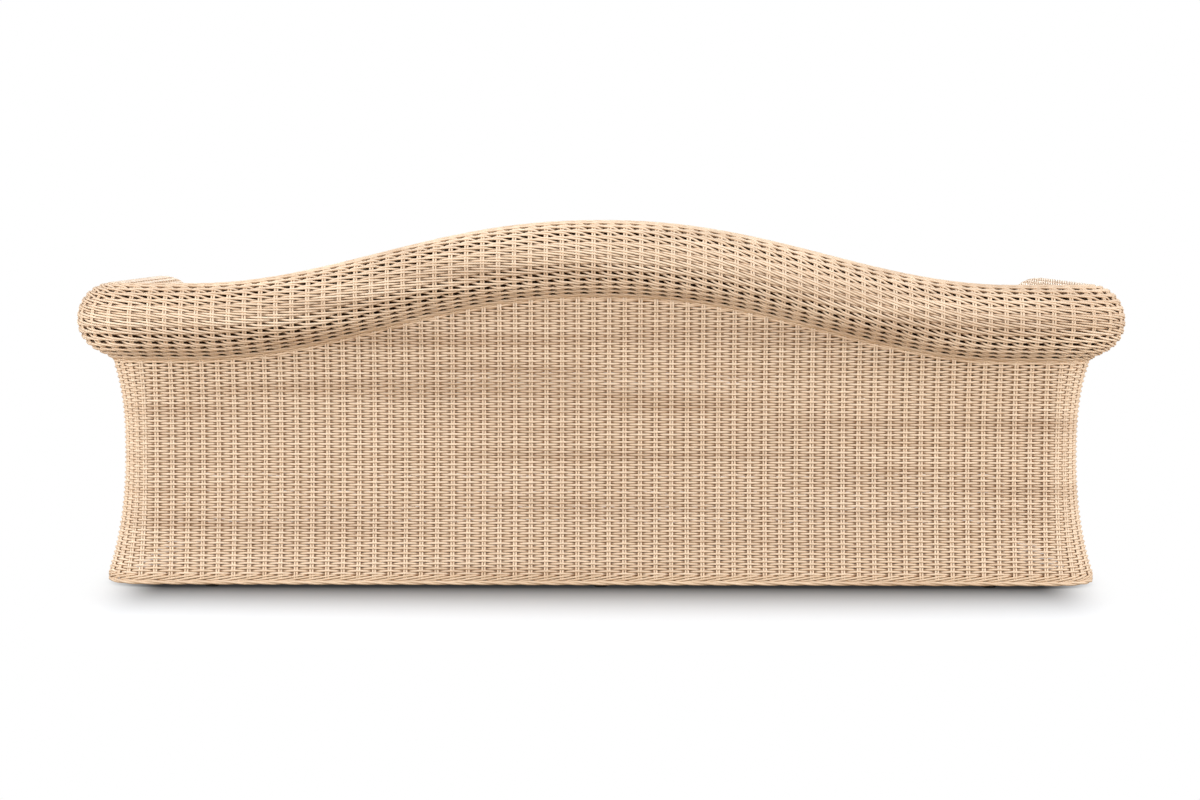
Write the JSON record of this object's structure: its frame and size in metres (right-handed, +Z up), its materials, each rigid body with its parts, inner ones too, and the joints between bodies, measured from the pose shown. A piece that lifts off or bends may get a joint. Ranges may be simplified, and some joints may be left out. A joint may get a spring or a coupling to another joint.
{
  "type": "rattan garden sofa",
  "caption": "Large sofa woven in natural round rattan, with a thick roll that humps over the back and turns into both arms, a concave woven skirt and loose seat cushions.",
  "frame": {"origin": "on the floor under the middle of the sofa's width and depth", "axes": "+X to the sitter's left when seated, along the width; -Y the way the seat faces; +Z up"},
  "size_m": [2.45, 0.96, 0.8507],
  "materials": {
    "rattan_weave": "round rattan core, unlacquered, satin",
    "rattan_plait": "round rattan core, plaited, satin",
    "rattan_pole": "peeled rattan pole, satin",
    "canvas": "plain woven cotton canvas, matt",
    "glide": "moulded, matt"
  },
  "bodies": {
    "root": {"apron_post_1": "rattan_pole", "apron_post_2": "rattan_pole", "arm_former_left": "rattan_pole", "arm_former_right": "rattan_pole", "arm_front_post_left": "rattan_pole", "arm_front_post_right": "rattan_pole", "arm_middle_post_left": "rattan_pole", "arm_middle_post_right": "rattan_pole", "back_former_1": "rattan_pole", "back_former_2": "rattan_pole", "back_former_3": "rattan_pole", "back_post_1": "rattan_pole", "back_post_2": "rattan_pole", "back_post_3": "rattan_pole", "back_post_4": "rattan_pole", "back_roll_weave": "rattan_weave", "base_rail_back": "rattan_pole", "base_rail_front": "rattan_pole", "base_rail_left": "rattan_pole", "base_rail_right": "rattan_pole", "border_back": "rattan_plait", "border_front": "rattan_plait", "border_left": "rattan_plait", "border_right": "rattan_plait", "corner_post_left": "rattan_pole", "corner_post_right": "rattan_pole", "front_apron_weave": "rattan_weave", "glide_back_1": "glide", "glide_back_2": "glide", "glide_back_3": "glide", "glide_front_1": "glide", "glide_front_2": "glide", "glide_front_3": "glide", "inner_back_weave": "rattan_weave", "left_arm_edging": "rattan_plait", "left_arm_facing": "rattan_weave", "left_inner_weave": "rattan_weave", "left_outer_weave": "rattan_weave", "left_roll_weave": "rattan_weave", "outer_back_weave": "rattan_weave", "right_arm_edging": "rattan_plait", "right_arm_facing": "rattan_weave", "right_inner_weave": "rattan_weave", "right_outer_weave": "rattan_weave", "right_roll_weave": "rattan_weave", "seat_bearer_1": "rattan_pole", "seat_bearer_2": "rattan_pole", "seat_bearer_3": "rattan_pole", "seat_bearer_4": "rattan_pole", "seat_cushion_left": "canvas", "seat_cushion_middle": "canvas", "seat_cushion_right": "canvas", "seat_deck_weave": "rattan_weave", "seat_rail_back": "rattan_pole", "seat_rail_front": "rattan_pole", "seat_rail_left": "rattan_pole", "seat_rail_right": "rattan_pole", "top_rail_back": "rattan_pole", "top_rail_left": "rattan_pole", "top_rail_right": "rattan_pole"}
  },
  "joints": []
}
